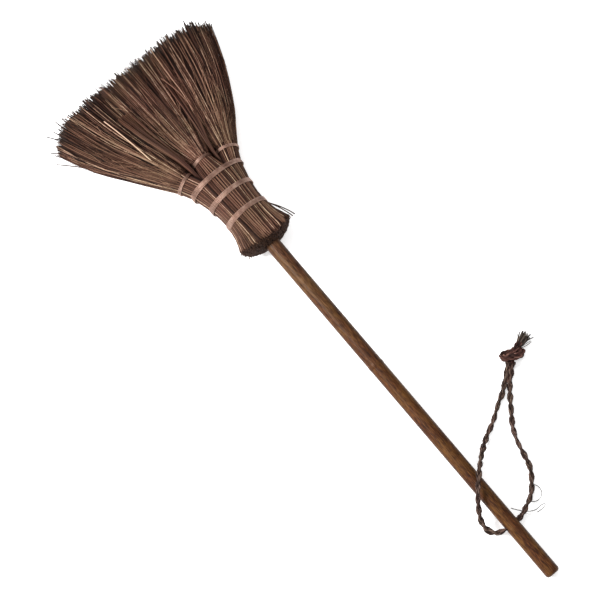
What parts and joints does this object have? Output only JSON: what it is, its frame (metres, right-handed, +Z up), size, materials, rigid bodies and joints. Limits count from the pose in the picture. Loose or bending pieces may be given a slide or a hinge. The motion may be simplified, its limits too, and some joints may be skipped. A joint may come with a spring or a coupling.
{
  "type": "hand broom",
  "caption": "Hand broom: palm-fibre fan bound in bundles with copper wire on a thin bamboo handle, with a rope hanging loop through the handle's end.",
  "frame": {"origin": "on the plane the broom lies on, under the middle of the broom's box (loop left out)", "axes": "+X along the broom towards the handle's free end, +Y to the right of a person holding it and looking at the fan, +Z up from the plane it lies on"},
  "size_m": [0.6464, 0.2371, 0.0455],
  "materials": {
    "bamboo": "stained, satin, fine lengthwise grain",
    "peg_bamboo": "raw split bamboo",
    "palm_fibre": "dry, matt straws",
    "copper_wire": "dull, slightly oxidised copper",
    "palm_rope": "coarse twisted palm fibre"
  },
  "bodies": {
    "broom": {"handle": "bamboo", "handle_peg": "peg_bamboo", "bundle_right": "palm_fibre", "bundle_middle": "palm_fibre", "bundle_left": "palm_fibre", "tie_right": "copper_wire", "tie_middle": "copper_wire", "tie_left": "copper_wire", "band_1": "copper_wire", "band_2": "copper_wire", "band_3": "copper_wire"},
    "loop": {"loop_rope": "palm_rope", "loop_knot": "palm_rope", "loop_ends": "palm_rope"}
  },
  "joints": [
    {"name": "loop_swing", "type": "hinge", "parent": "broom", "child": "loop", "pos_m": [0.2645, 0, 0.00945], "axis": [0, 1, 0], "range_deg": [0, 145]}
  ]
}
